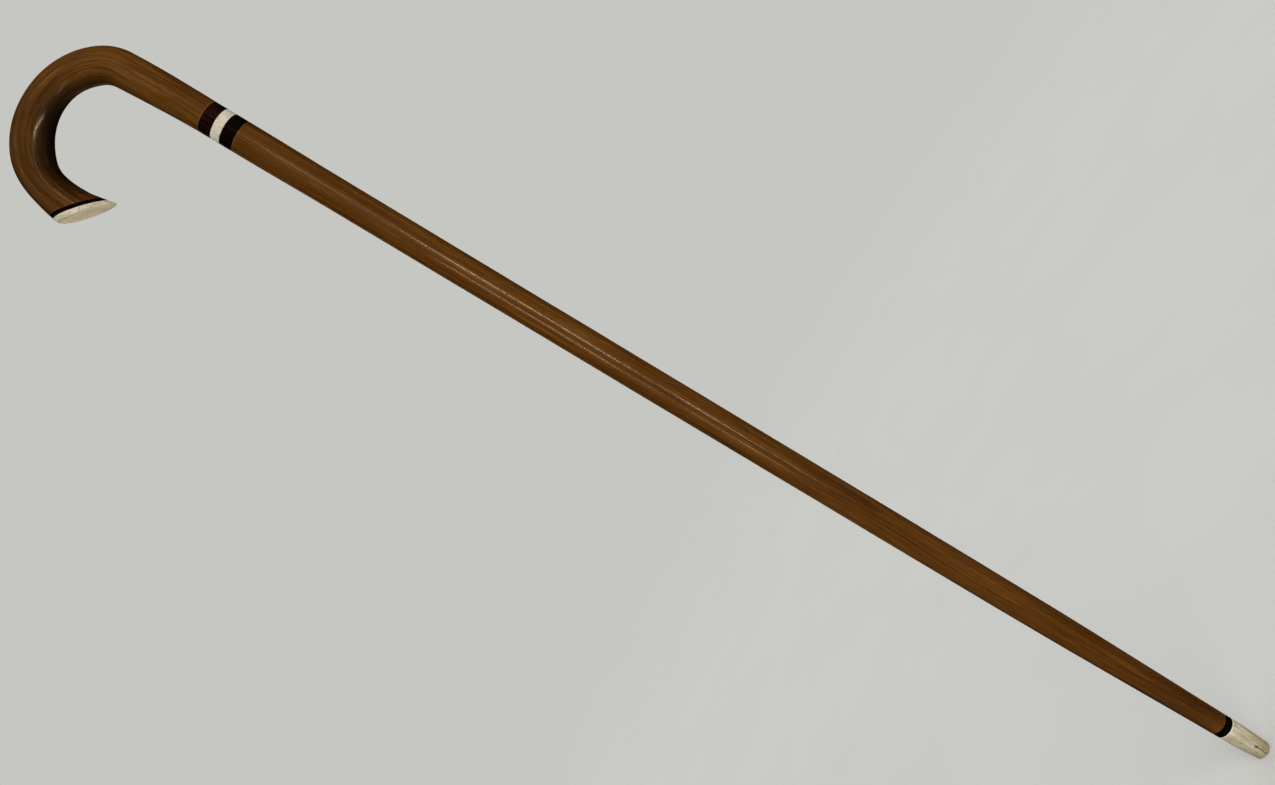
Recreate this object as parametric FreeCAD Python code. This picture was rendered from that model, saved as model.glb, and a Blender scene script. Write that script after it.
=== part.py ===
import FreeCAD, Part
import math
import os

Vector = FreeCAD.Vector

# A crook-handled walking cane of turned and bent hardwood, standing upright on its foot.
# +Z runs up the shaft from the centre of the foot. The crook lies in the XZ plane and curls
# towards -X. All lengths are in millimetres and all angles in degrees.

# Shaft
shaft_length = 722.0
upper_shaft_diameter = 20.2        # a hand's breadth below the collar
upper_shaft_drop = 78.0            # from the collar down to that place
middle_shaft_diameter = 19.9
middle_shaft_drop = 360.0
taper_top_diameter = 19.0          # where the long taper to the ferrule begins
taper_length = 140.0

# Collar: three rings between the shaft and the handle
collar_diameter = 21.0
ebony_ring_length = 8.6
bone_ring_length = 6.1
rosewood_ring_length = 8.3

# Ferrule: a dark ring and a tapered bone tip
ferrule_ring_length = 5.5
ferrule_top_diameter = 15.0
ferrule_tip_length = 30.7
ferrule_waist_diameter = 14.1      # halfway down, a little fuller than a straight cone
ferrule_foot_diameter = 12.0
foot_rounding = 1.2

# Handle: bends that follow each other tangentially, from the collar to the nose.
# Each one is a radius, the turn it makes, and the width and depth of the wood at its end.
stem_bend = (977.0, 3.3, 23.0, 22.6)
shoulder_bend = (24.3, 34.5, 23.0, 22.3)
crown_bend = (45.1, 40.3, 22.5, 22.0)
heel_bend = (50.3, 48.3, 24.9, 23.6)
neck_bend = (34.7, 36.5, 23.3, 22.4)
nose_bend = (78.2, 17.3, 25.7, 23.1)
nose_flare = 0.34                  # growth of the width along the last straight stretch
nose_stock = 34.0                  # that stretch, before the oblique cut
section_spacing = 9.0

# Nose: an oblique cut across the end of the handle, faced with a spacer and a cap
nose_cut_drop = -3.6               # along the handle's line, from the last bend to the cut's middle
nose_cut_angle = 38.6              # the cut's slope, falling towards the shaft
spacer_thickness = 2.5
cap_thickness = 3.4
cap_edge_rounding = 0.9

# Hidden joinery
collar_dowel_diameter = 9.0
collar_dowel_in_shaft = 36.0
collar_dowel_in_handle = 30.0
ferrule_peg_diameter = 6.0
ferrule_peg_in_shaft = 25.0
ferrule_peg_in_tip = 19.0
nose_peg_diameter = 3.0
nose_peg_in_handle = 9.0
nose_peg_in_cap = 2.0
nose_peg_spacing = 12.0
nose_peg_shift = -2.5              # along the cut, away from the shaft

# Places up the shaft
ring_bottom = ferrule_tip_length
shaft_bottom = ring_bottom + ferrule_ring_length
shaft_top = shaft_bottom + shaft_length
ebony_ring_top = shaft_top + ebony_ring_length
bone_ring_top = ebony_ring_top + bone_ring_length
collar_top = bone_ring_top + rosewood_ring_length


def rod(diameter, bottom, top):
    """A round rod along Z between two heights."""
    return Part.makeCylinder(diameter / 2, top - bottom, Vector(0, 0, bottom))


def turned(outline):
    """A solid turned about Z from edges that run from axis to axis."""
    face = Part.Face(Part.Wire(outline))
    return face.revolve(Vector(0, 0, 0), Vector(0, 0, 1), 360)


def smooth_side(points):
    """One smooth curve through points given as (radius, height)."""
    side = Part.BSplineCurve()
    side.interpolate([Vector(radius, 0, height) for radius, height in points])
    return side.toShape()


def line(start, end):
    """A straight edge between two points given as (radius, height)."""
    return Part.makeLine(Vector(start[0], 0, start[1]), Vector(end[0], 0, end[1]))


# The centreline of the handle

bends = (stem_bend, shoulder_bend, crown_bend, heel_bend, neck_bend, nose_bend)


def direction(heading):
    """The unit vector that leans from +Z towards -X by a heading in degrees."""
    angle = math.radians(heading)
    return Vector(-math.sin(angle), 0, math.cos(angle))


def along_bend(start, heading, radius, turn):
    """The point reached after a bend that turns the handle's line towards -X."""
    to_centre = direction(heading + 90) * radius
    from_centre = direction(heading + 90 + turn) * radius
    return start + to_centre - from_centre


def smooth_step(before, start, end, after, share):
    """A value between start and end that runs on smoothly from its neighbours."""
    leaving = (end - before) / 2
    arriving = (after - start) / 2
    square = share * share
    cube = square * share
    return (
        (2 * cube - 3 * square + 1) * start
        + (cube - 2 * square + share) * leaving
        + (3 * square - 2 * cube) * end
        + (cube - square) * arriving
    )


def handle_stations():
    """Centre, heading, width and depth of each section from the collar to the last bend."""
    widths = [collar_diameter] + [bend[2] for bend in bends]
    depths = [collar_diameter] + [bend[3] for bend in bends]
    stations = []
    start = Vector(0, 0, collar_top)
    heading = 0.0
    for number, (radius, turn, _, _) in enumerate(bends):
        steps = math.ceil(radius * math.radians(turn) / section_spacing)
        for step in range(steps):
            share = step / steps
            centre = along_bend(start, heading, radius, turn * share)
            sizes = []
            for size in (widths, depths):
                before = size[max(number - 1, 0)]
                after = size[min(number + 2, len(size) - 1)]
                sizes.append(smooth_step(before, size[number], size[number + 1], after, share))
            stations.append((centre, heading + turn * share, sizes[0], sizes[1]))
        start = along_bend(start, heading, radius, turn)
        heading = heading + turn
    stations.append((start, heading, widths[-1], depths[-1]))
    return stations


def section(centre, heading, width, depth):
    """An oval wire across the handle: its width lies in the crook's plane."""
    across = direction(heading + 90)
    tip = centre + across * (width / 2)
    side = centre + Vector(0, depth / 2, 0)
    return Part.Wire(Part.Ellipse(tip, side, centre).toShape())


def nose_end():
    """Centre and heading where the last bend ends."""
    centre, heading, _, _ = handle_stations()[-1]
    return centre, heading


def handle_stock():
    """The bent handle with spare length at the nose, before the oblique cut."""
    stations = handle_stations()
    centre, heading, width, depth = stations[-1]
    steps = math.ceil(nose_stock / section_spacing)
    for step in range(1, steps + 1):
        length = nose_stock * step / steps
        place = centre + direction(heading) * length
        stations.append((place, heading, width + nose_flare * length, depth))
    return Part.makeLoft([section(*station) for station in stations], True, False)


# The oblique cut at the nose


def cut_middle():
    """The middle of the oblique cut."""
    centre, heading = nose_end()
    return centre + direction(heading) * nose_cut_drop


def cut_normal():
    """The direction square to the cut, out of the handle."""
    angle = math.radians(nose_cut_angle)
    return Vector(-math.sin(angle), 0, -math.cos(angle))


def cut_direction():
    """The direction along the cut, falling towards the shaft."""
    angle = math.radians(nose_cut_angle)
    return Vector(math.cos(angle), 0, -math.sin(angle))


def nose_slab(start, thickness):
    """A wide slab square to the cut, from one depth below it to the next."""
    reach = 2 * (stem_bend[2] + nose_bend[2])
    slab = Part.makeBox(reach, reach, thickness, Vector(-reach / 2, -reach / 2, 0))
    turn = FreeCAD.Rotation(Vector(0, 0, 1), cut_normal())
    base = cut_middle() + cut_normal() * start
    slab.Placement = FreeCAD.Placement(base, turn)
    return slab


def nose_pegs():
    """The two pegs through the spacer, the outer one first."""
    pegs = []
    length = nose_peg_in_handle + spacer_thickness + nose_peg_in_cap
    for side in (-0.5, 0.5):
        along = nose_peg_shift + side * nose_peg_spacing
        foot = cut_middle() + cut_direction() * along
        start = foot - cut_normal() * nose_peg_in_handle
        pegs.append(Part.makeCylinder(nose_peg_diameter / 2, length, start, cut_normal()))
    return pegs


# The dowels that hold the collar and the ferrule


def collar_dowel():
    """The rod through the three collar rings, into the shaft and the handle."""
    bottom = shaft_top - collar_dowel_in_shaft
    top = collar_top + collar_dowel_in_handle
    return rod(collar_dowel_diameter, bottom, top)


def ferrule_peg():
    """The rod through the ferrule ring, into the shaft and the tip."""
    bottom = ring_bottom - ferrule_peg_in_tip
    top = shaft_bottom + ferrule_peg_in_shaft
    return rod(ferrule_peg_diameter, bottom, top)


# The pieces that show


def shaft():
    """The tapered stick, bored at both ends."""
    top = collar_diameter / 2
    bottom = ferrule_top_diameter / 2
    side = smooth_side([
        (bottom, shaft_bottom),
        (taper_top_diameter / 2, shaft_bottom + taper_length),
        (middle_shaft_diameter / 2, shaft_top - middle_shaft_drop),
        (upper_shaft_diameter / 2, shaft_top - upper_shaft_drop),
        (top, shaft_top),
    ])
    stick = turned([
        line((0, shaft_bottom), (bottom, shaft_bottom)),
        side,
        line((top, shaft_top), (0, shaft_top)),
        line((0, shaft_top), (0, shaft_bottom)),
    ])
    return stick.cut(collar_dowel()).cut(ferrule_peg())


def collar_ring(bottom, top):
    """One ring of the collar, bored for the dowel."""
    return rod(collar_diameter, bottom, top).cut(collar_dowel())


def ferrule_ring():
    """The dark ring above the bone tip."""
    return rod(ferrule_top_diameter, ring_bottom, shaft_bottom).cut(ferrule_peg())


def ferrule_tip():
    """The tapered bone tip with a rounded foot and a blind hole for the peg."""
    top = ferrule_top_diameter / 2
    foot = ferrule_foot_diameter / 2
    side = smooth_side([
        (foot, foot_rounding),
        (ferrule_waist_diameter / 2, ring_bottom / 2),
        (top, ring_bottom),
    ])
    corner = foot_rounding * math.sqrt(0.5)
    inset = foot - foot_rounding
    rounding = Part.Arc(
        Vector(inset, 0, 0),
        Vector(inset + corner, 0, foot_rounding - corner),
        Vector(foot, 0, foot_rounding),
    ).toShape()
    tip = turned([
        line((0, 0), (inset, 0)),
        rounding,
        side,
        line((top, ring_bottom), (0, ring_bottom)),
        line((0, ring_bottom), (0, 0)),
    ])
    return tip.cut(ferrule_peg())


def crook_handle(stock):
    """The bent handle, cut obliquely at the nose and bored for its dowel and pegs."""
    handle = stock.cut(nose_slab(0, 2 * nose_stock)).cut(collar_dowel())
    for peg in nose_pegs():
        handle = handle.cut(peg)
    return handle


def nose_spacer(stock):
    """The thin dark plate behind the cap."""
    plate = stock.common(nose_slab(0, spacer_thickness))
    for peg in nose_pegs():
        plate = plate.cut(peg)
    return plate


def nose_cap(stock):
    """The bone cap, with its outer edge rounded and blind holes for the pegs."""
    cap = stock.common(nose_slab(spacer_thickness, cap_thickness))
    end = cut_middle() + cut_normal() * (spacer_thickness + cap_thickness)
    outer_edges = []
    for edge in cap.Edges:
        depth = (edge.CenterOfMass - end).dot(cut_normal())
        if abs(depth) < 0.01:
            outer_edges.append(edge)
    cap = cap.makeFillet(cap_edge_rounding, outer_edges)
    for peg in nose_pegs():
        cap = cap.cut(peg)
    return cap


def main():
    """Build each piece and write it to its own file."""
    os.makedirs("parts", exist_ok=True)
    stock = handle_stock()
    outer_peg, inner_peg = nose_pegs()
    pieces = {
        "shaft": shaft(),
        "collar_ebony_ring": collar_ring(shaft_top, ebony_ring_top),
        "collar_bone_ring": collar_ring(ebony_ring_top, bone_ring_top),
        "collar_rosewood_ring": collar_ring(bone_ring_top, collar_top),
        "collar_dowel": collar_dowel(),
        "crook_handle": crook_handle(stock),
        "nose_spacer": nose_spacer(stock),
        "nose_cap": nose_cap(stock),
        "nose_peg_outer": outer_peg,
        "nose_peg_inner": inner_peg,
        "ferrule_ring": ferrule_ring(),
        "ferrule_tip": ferrule_tip(),
        "ferrule_peg": ferrule_peg(),
    }
    for name, piece in pieces.items():
        piece.exportStep(f"parts/{name}.step")
        print(f"{name}: valid {piece.isValid()}, {len(piece.Solids)} solid, {piece.Volume:.1f} mm3")


main()
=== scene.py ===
import logging
import math
from dataclasses import dataclass, field
from enum import Enum
from typing import Any, Callable, Optional, Sequence, Union

import bmesh
import bpy
from mathutils import Matrix, Vector, noise

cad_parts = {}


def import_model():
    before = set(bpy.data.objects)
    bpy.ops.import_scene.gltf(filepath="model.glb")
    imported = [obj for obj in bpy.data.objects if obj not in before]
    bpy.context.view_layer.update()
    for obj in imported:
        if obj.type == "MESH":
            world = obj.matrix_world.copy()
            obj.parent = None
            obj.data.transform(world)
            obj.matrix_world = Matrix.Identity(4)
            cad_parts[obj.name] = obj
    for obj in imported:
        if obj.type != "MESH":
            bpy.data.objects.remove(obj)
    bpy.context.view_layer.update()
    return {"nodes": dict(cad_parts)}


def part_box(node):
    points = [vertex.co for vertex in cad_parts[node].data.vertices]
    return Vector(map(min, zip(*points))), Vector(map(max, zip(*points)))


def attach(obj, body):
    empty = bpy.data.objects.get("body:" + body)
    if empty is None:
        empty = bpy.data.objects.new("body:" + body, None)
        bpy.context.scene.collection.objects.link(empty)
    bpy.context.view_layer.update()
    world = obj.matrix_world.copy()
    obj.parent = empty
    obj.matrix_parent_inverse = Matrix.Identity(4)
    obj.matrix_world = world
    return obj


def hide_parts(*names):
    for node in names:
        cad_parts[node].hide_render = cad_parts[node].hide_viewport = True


# A crook-handled walking cane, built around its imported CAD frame. The shaft stands along +Z
# from the centre of its foot, and the crook lies in the XZ plane and curls towards -X.
# Lengths are in metres and angles in degrees, unless a name says otherwise.

LOG = logging.getLogger("cane")
BODY = "root"
GRAIN = "straight"
# The vertex channel for dirt and, on the crook, painted shade
STAIN_AND_SHADE = "stain_and_shade"
MILLIMETRE = 0.001
HALF = 0.5
# Below 0 the channel pales a thin band at the ends of a piece
PALE_EDGE = -0.7

# Sockets of the nodes that have several of one name
MIX_FACTOR = 0
MIX_FIRST = 6
MIX_SECOND = 7
MIX_RESULT = 2
SECOND_OUTPUT = 1
THIRD_OUTPUT = 2
OBJECT_OUTPUT = 3

Verts = list[bmesh.types.BMVert]
Point = tuple[float, float, float]


# Shader arithmetic


class Wire:
    """An output socket of a material's nodes, for arithmetic on its values."""

    def __init__(self, recipe: "Recipe", socket: bpy.types.NodeSocket) -> None:
        """Wrap a socket.

        Args:
            recipe: the node tree that the socket belongs to.
            socket: the socket itself.
        """
        self.recipe = recipe
        self.socket = socket

    def _math(self, operation: str, first: "Value", second: "Value") -> "Wire":
        """Add a Math node that works on two values."""
        return self.recipe.node("ShaderNodeMath", {"operation": operation}, {0: first, 1: second})

    def __add__(self, other: "Value") -> "Wire":
        """This value and another, added."""
        return self._math("ADD", self, other)

    def __radd__(self, other: "Value") -> "Wire":
        """Another value and this one, added."""
        return self._math("ADD", other, self)

    def __sub__(self, other: "Value") -> "Wire":
        """This value less another."""
        return self._math("SUBTRACT", self, other)

    def __rsub__(self, other: "Value") -> "Wire":
        """Another value less this one."""
        return self._math("SUBTRACT", other, self)

    def __mul__(self, other: "Value") -> "Wire":
        """This value times another."""
        return self._math("MULTIPLY", self, other)

    def __rmul__(self, other: "Value") -> "Wire":
        """Another value times this one."""
        return self._math("MULTIPLY", other, self)


Value = Union[float, Wire]


@dataclass(frozen=True)
class Tone:
    """A colour as the eye sees it, each channel from 0 to 255."""

    red: float
    green: float
    blue: float

    def linear(self) -> tuple[float, float, float, float]:
        """The colour in linear light, opaque.

        Returns:
            Red, green, blue and 1.
        """
        channels = [value / 255 for value in (self.red, self.green, self.blue)]
        lit = [c / 12.92 if c <= 0.04045 else ((c + 0.055) / 1.055) ** 2.4 for c in channels]
        return (lit[0], lit[1], lit[2], 1.0)


class GrainSpace(Enum):
    """Where a material's grain takes its coordinates from."""

    CARRIED = "carried on the mesh, along the bent wood"
    PLACED = "the piece's own place in the cane"


@dataclass(frozen=True)
class Pattern:
    """A layer of noise: features to the metre along each coordinate, and its finer layers."""

    scale: Point
    detail: float = 2.0
    rough: float = 0.5


class Recipe:
    """The node tree of one material, and the ways to add to it."""

    def __init__(self, name: str) -> None:
        """Start an empty material of that name.

        Args:
            name: the name of the material.
        """
        self.material = bpy.data.materials.new(name)
        self.material.use_nodes = True
        self.tree = self.material.node_tree
        self.tree.nodes.clear()

    def node(
        self,
        kind: str,
        settings: Optional[dict[str, Any]] = None,
        sockets: Optional[dict[Union[int, str], Any]] = None,
        output: int = 0,
    ) -> Wire:
        """Add any node.

        Args:
            kind: the node's type.
            settings: its properties, set first; "stops" are a colour ramp's places and tones.
            sockets: the value or the wire for each input, by name or number.
            output: which of its outputs to hand back.

        Returns:
            The chosen output.
        """
        made = self.tree.nodes.new(kind)
        for name, value in (settings or {}).items():
            if name == "stops":
                self._set_stops(made.color_ramp, value)
            else:
                setattr(made, name, value)
        for key, value in (sockets or {}).items():
            if isinstance(value, Wire):
                self.tree.links.new(value.socket, made.inputs[key])
            else:
                made.inputs[key].default_value = value
        return Wire(self, made.outputs[output])

    @staticmethod
    def _set_stops(ramp: bpy.types.ColorRamp, stops: Sequence[tuple[float, Tone]]) -> None:
        """Give a ramp its places and tones.

        Args:
            ramp: the colour ramp.
            stops: each place from 0 to 1 with its tone.
        """
        while len(ramp.elements) < len(stops):
            ramp.elements.new(1.0)
        for element, (place, tone) in zip(ramp.elements, stops):
            element.position = place
            element.color = tone.linear()

    def space(self, source: GrainSpace) -> Wire:
        """The grain's coordinates, in metres.

        Args:
            source: where they come from.

        Returns:
            The coordinates.
        """
        if source is GrainSpace.CARRIED:
            settings = {"attribute_name": GRAIN}
            return self.node("ShaderNodeAttribute", settings, output=SECOND_OUTPUT)
        return self.node("ShaderNodeTexCoord", output=OBJECT_OUTPUT)

    def stain_and_shade(self) -> Wire:
        """Dirt and painted shade above 0, and a paler band at the ends of a piece below 0."""
        return self.node("ShaderNodeAttribute", {"attribute_name": STAIN_AND_SHADE}, output=THIRD_OUTPUT)

    def part(self, vector: Wire, axis: int) -> Wire:
        """One coordinate of a vector: 0, 1 or 2."""
        return self.node("ShaderNodeSeparateXYZ", None, {0: vector}, axis)

    def shifted(self, vector: Wire, by: Union[Wire, Vector]) -> Wire:
        """A vector with another one added."""
        return self.node("ShaderNodeVectorMath", {"operation": "ADD"}, {0: vector, 1: by})

    def stretched(self, vector: Wire, by: Sequence[float]) -> Wire:
        """A vector with each coordinate multiplied by its own number."""
        settings = {"operation": "MULTIPLY"}
        return self.node("ShaderNodeVectorMath", settings, {0: vector, 1: tuple(by)})

    def noise(self, vector: Wire, pattern: Pattern, output: int = 0) -> Wire:
        """Smooth random values around 0.5; output 1 gives a vector.

        Args:
            vector: where each value is taken, in metres.
            pattern: how fine the noise is.
            output: 0 for a value, 1 for a vector.

        Returns:
            The noise.
        """
        sockets = {"Vector": self.stretched(vector, pattern.scale), "Scale": 1.0}
        sockets.update({"Detail": pattern.detail, "Roughness": pattern.rough})
        return self.node("ShaderNodeTexNoise", None, sockets, output)

    def step(self, value: Value, low: float, high: float) -> Wire:
        """A smooth rise from 0 at low to 1 at high."""
        settings = {"interpolation_type": "SMOOTHSTEP"}
        return self.node("ShaderNodeMapRange", settings, {0: value, 1: low, 2: high})

    def ramp(self, value: Value, stops: Sequence[tuple[float, Tone]]) -> Wire:
        """A colour that follows a value through several tones."""
        return self.node("ShaderNodeValToRGB", {"stops": stops}, {0: value})

    def blend(self, share: Value, first: Any, second: Any, mode: str = "MIX") -> Wire:
        """Two colours mixed.

        Args:
            share: how much of the second colour.
            first: a wire or a Tone.
            second: a wire or a Tone.
            mode: the way they are mixed.

        Returns:
            The mixed colour.
        """
        sockets = {MIX_FACTOR: share}
        for key, colour in ((MIX_FIRST, first), (MIX_SECOND, second)):
            sockets[key] = colour.linear() if isinstance(colour, Tone) else colour
        settings = {"data_type": "RGBA", "blend_type": mode}
        return self.node("ShaderNodeMix", settings, sockets, MIX_RESULT)

    def relief(self, height: Value, depth: float) -> Wire:
        """A bumped normal, where a height of 1 stands for a depth in metres."""
        return self.node("ShaderNodeBump", None, {"Height": height, "Distance": depth})

    def surface(self, sockets: dict[str, Any]) -> bpy.types.Material:
        """Close the tree with a Principled shader.

        Args:
            sockets: the value or the wire for each of the shader's inputs, by name.

        Returns:
            The finished material.
        """
        shader = self.node("ShaderNodeBsdfPrincipled", None, sockets)
        end = self.tree.nodes.new("ShaderNodeOutputMaterial")
        self.tree.links.new(shader.socket, end.inputs["Surface"])
        return self.material


# Finishes


# Layers of the wood's grain, from coarse to fine
WANDER = Pattern((70, 70, 12))
CLOUDS = Pattern((60, 60, 9), 2.0, 0.55)
BANDS = Pattern((520, 190, 7), 3.0, 0.6)
FLECKS = Pattern((900, 900, 120), 2.0, 0.6)
STREAKS = Pattern((1250, 1250, 24), 2.0, 0.55)
VESSELS = Pattern((2300, 2300, 170), 1.0)
FIBRES = Pattern((3600, 3600, 70), 2.0, 0.6)
BONE_DOTS = Pattern((1900, 1900, 520), 1.0)
PAPER_CLOUDS = Pattern((6, 6, 6))


class Grain:
    """The layers of one wood's grain: pores and flecks from 0 to 1, the others around 0."""

    reach: Point = (0.0055, 0.0055, 0.0)
    pore_step: tuple[float, float] = (0.60, 0.70)
    fleck_step: tuple[float, float] = (0.60, 0.74)

    def __init__(self, recipe: Recipe, place: Wire) -> None:
        """Lay the layers out.

        Args:
            recipe: the material's node tree.
            place: the grain's coordinates, which the finer layers wander away from.
        """
        wander = recipe.noise(place, WANDER, SECOND_OUTPUT)
        wander = recipe.stretched(recipe.shifted(wander, (-HALF, -HALF, -HALF)), self.reach)
        bent = recipe.shifted(place, wander)
        self.layers = {"clouds": recipe.noise(place, CLOUDS) - HALF}
        for name, pattern in (("bands", BANDS), ("streaks", STREAKS), ("fibres", FIBRES)):
            self.layers[name] = recipe.noise(bent, pattern) - HALF
        self.layers["pores"] = recipe.step(recipe.noise(bent, VESSELS), *self.pore_step)
        self.layers["flecks"] = recipe.step(recipe.noise(bent, FLECKS), *self.fleck_step)

    def mixed(self, **shares: float) -> Wire:
        """The named layers, each times its share, added together."""
        parts = [self.layers[name] * share for name, share in shares.items()]
        return sum(parts[1:], parts[0])


@dataclass(frozen=True)
class WoodFinish:
    """Turned, oiled and waxed hardwood, with its grain along the stick."""

    name: str
    deep: Tone
    body: Tone
    warm: Tone
    pale: Tone
    # the tone of the paler band at the ends of a piece
    edge_tone: Tone
    tone_places: tuple[float, ...] = (0.18, 0.44, 0.62, 0.86)
    roughness: float = 0.46
    specular: float = 0.10
    wax: float = 0.55
    wax_edge: float = 0.12
    wax_roughness: float = 0.17
    figure: float = 0.87
    clouding: float = 0.7
    fibre: float = 0.34
    lines: float = 0.55
    pores: float = 0.35
    flecks: float = 0.26
    relief: float = 0.000010
    rubbed_from: float = 0.0
    rubbed_to: float = 0.0
    rubbed_wax: float = 0.1
    source: GrainSpace = GrainSpace.CARRIED
    offset: Point = (0.0, 0.0, 0.0)

    def _colour(self, recipe: Recipe, grain: Grain) -> Wire:
        """The wood's colour, with its pores, flecks, dirt, painted shade and paler end bands.

        Args:
            recipe: the material's node tree.
            grain: the grain's layers.

        Returns:
            The colour.
        """
        lean = grain.mixed(
            bands=self.figure, streaks=self.lines, clouds=self.clouding, fibres=self.fibre
        )
        tones = (self.deep, self.body, self.warm, self.pale)
        colour = recipe.ramp(lean + HALF, list(zip(self.tone_places, tones)))
        colour = recipe.blend(grain.mixed(pores=self.pores), colour, self.deep)
        colour = recipe.blend(grain.mixed(flecks=self.flecks), colour, self.pale)
        # Above 0 it darkens: real dirt in pits, and painted shade on the crook
        stain_and_shade = recipe.stain_and_shade()
        colour = recipe.blend(recipe.step(stain_and_shade, 0.0, 1.0), colour, self.deep, "MULTIPLY")
        return recipe.blend(recipe.step(stain_and_shade * -1.0, 0.0, 1.0), colour, self.edge_tone)

    def _wax(self, recipe: Recipe, grain: Grain, space: Wire) -> Wire:
        """How much wax there is: it comes and goes, and it is thin where a hand rubs it.

        Args:
            recipe: the material's node tree.
            grain: the grain's layers.
            space: the grain's coordinates, before any offset.

        Returns:
            The weight of the wax.
        """
        patches = grain.mixed(clouds=1.0, streaks=0.12)
        wax = recipe.step(patches, -self.wax_edge, self.wax_edge) * self.wax
        if self.rubbed_to:
            kept = recipe.step(recipe.part(space, 2), self.rubbed_from, self.rubbed_to)
            wax = wax * (kept * (1.0 - self.rubbed_wax) + self.rubbed_wax)
        return wax

    def material(self) -> bpy.types.Material:
        """Build the material.

        Returns:
            A Principled material whose colour, roughness, wax and relief follow the grain.
        """
        recipe = Recipe(self.name)
        space = recipe.space(self.source)
        grain = Grain(recipe, recipe.shifted(space, self.offset))
        dulling = grain.mixed(fibres=0.16, clouds=0.22, pores=0.18)
        height = grain.mixed(fibres=0.06, streaks=0.3, bands=0.5, pores=-0.06)
        return recipe.surface({
            "Base Color": self._colour(recipe, grain),
            "Roughness": dulling + self.roughness,
            "Specular IOR Level": self.specular,
            "Coat Weight": self._wax(recipe, grain, space),
            "Coat Roughness": self.wax_roughness,
            "Normal": recipe.relief(height, self.relief),
        })


@dataclass(frozen=True)
class BoneFinish:
    """Polished bone, with its fine canals along one direction and age in its pits."""

    name: str
    light: Tone
    body: Tone
    dull: Tone
    dirt: Tone
    tone_places: tuple[float, ...] = (0.15, 0.48, 0.80)
    canals: Pattern = Pattern((1500, 1500, 160), 2.0, 0.6)
    clouds: Pattern = Pattern((190, 190, 90), 3.0, 0.6)
    dot_step: tuple[float, float] = (0.61, 0.70)
    clouding: float = 1.3
    lining: float = 0.6
    specks: float = 0.30
    roughness: float = 0.34
    specular: float = 0.22
    relief: float = 0.000012
    foot_dirt: float = 0.0
    worn_height: float = 0.026

    def material(self) -> bpy.types.Material:
        """Build the material.

        Returns:
            A Principled material with canals, clouds and dirt in its pits.
        """
        recipe = Recipe(self.name)
        place = recipe.space(GrainSpace.CARRIED)
        clouds = recipe.noise(place, self.clouds) - HALF
        lines = recipe.noise(place, self.canals) - HALF
        dots = recipe.step(recipe.noise(place, BONE_DOTS), *self.dot_step)
        tones = list(zip(self.tone_places, (self.dull, self.body, self.light)))
        colour = recipe.ramp(clouds * self.clouding + lines * self.lining + HALF, tones)
        colour = recipe.blend(dots * self.specks, colour, self.dirt)
        if self.foot_dirt:
            worn = 1.0 - recipe.step(recipe.part(place, 2), 0.0, self.worn_height)
            colour = recipe.blend(worn * self.foot_dirt, colour, self.dull)
        stain_and_shade = recipe.stain_and_shade()
        dirty = recipe.step(stain_and_shade, 0.0, 1.0)
        colour = recipe.blend(dirty, colour, self.dirt)
        colour = recipe.blend(recipe.step(stain_and_shade * -1.0, 0.0, 1.0), colour, self.light)
        height = lines * 0.5 - dots * 0.6 + clouds * 0.4
        return recipe.surface({
            "Base Color": colour,
            "Roughness": lines * 0.15 + dots * 0.2 + dirty * 0.3 + self.roughness,
            "Specular IOR Level": self.specular,
            "Subsurface Weight": 0.12,
            "Subsurface Radius": (1.0, 0.8, 0.5),
            "Subsurface Scale": 0.0012,
            "Normal": recipe.relief(height, self.relief),
        })


@dataclass(frozen=True)
class FloorFinish:
    """A pale paper floor that fades out far from the cane."""

    name: str = "studio_paper"
    light: Tone = Tone(229, 229, 225)
    shade: Tone = Tone(226, 226, 222)
    solid_to: float = 0.9
    gone_at: float = 2.9

    def material(self) -> bpy.types.Material:
        """Build the material, which gives way to the backdrop with distance.

        Returns:
            The finished material.
        """
        recipe = Recipe(self.name)
        place = recipe.space(GrainSpace.PLACED)
        settings = {"operation": "LENGTH"}
        length = recipe.node("ShaderNodeVectorMath", settings, {0: place}, SECOND_OUTPUT)
        clouds = recipe.noise(place, PAPER_CLOUDS)
        return recipe.surface({
            "Base Color": recipe.blend(recipe.step(clouds, 0.3, 0.7), self.light, self.shade),
            "Roughness": 0.9,
            "Specular IOR Level": 0.0,
            "Alpha": 1.0 - recipe.step(length, self.solid_to, self.gone_at),
        })


# The finishes of this cane

SHAFT_WOOD = WoodFinish(
    "shaft_wood",
    deep=Tone(64, 33, 4),
    body=Tone(94, 54, 9),
    warm=Tone(106, 64, 13),
    pale=Tone(128, 84, 26),
    edge_tone=Tone(122, 84, 42),
    lines=0.72,
)
HANDLE_WOOD = WoodFinish(
    "handle_wood",
    deep=Tone(56, 27, 3),
    body=Tone(90, 52, 9),
    warm=Tone(106, 64, 15),
    pale=Tone(132, 88, 32),
    edge_tone=Tone(122, 84, 42),
    offset=(0.031, 0.017, 0.4),
    figure=0.69,
    clouding=1.30,
    fibre=0.60,
    lines=0.80,
    rubbed_from=0.865,
    rubbed_to=0.915,
)
ROSEWOOD = WoodFinish(
    "rosewood",
    deep=Tone(10, 2, 2),
    body=Tone(27, 7, 5),
    warm=Tone(38, 10, 7),
    pale=Tone(66, 24, 15),
    edge_tone=Tone(66, 36, 22),
    roughness=0.42,
    specular=0.04,
    wax=0.14,
    figure=1.35,
    offset=(0.012, 0.044, 0.1),
)
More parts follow.
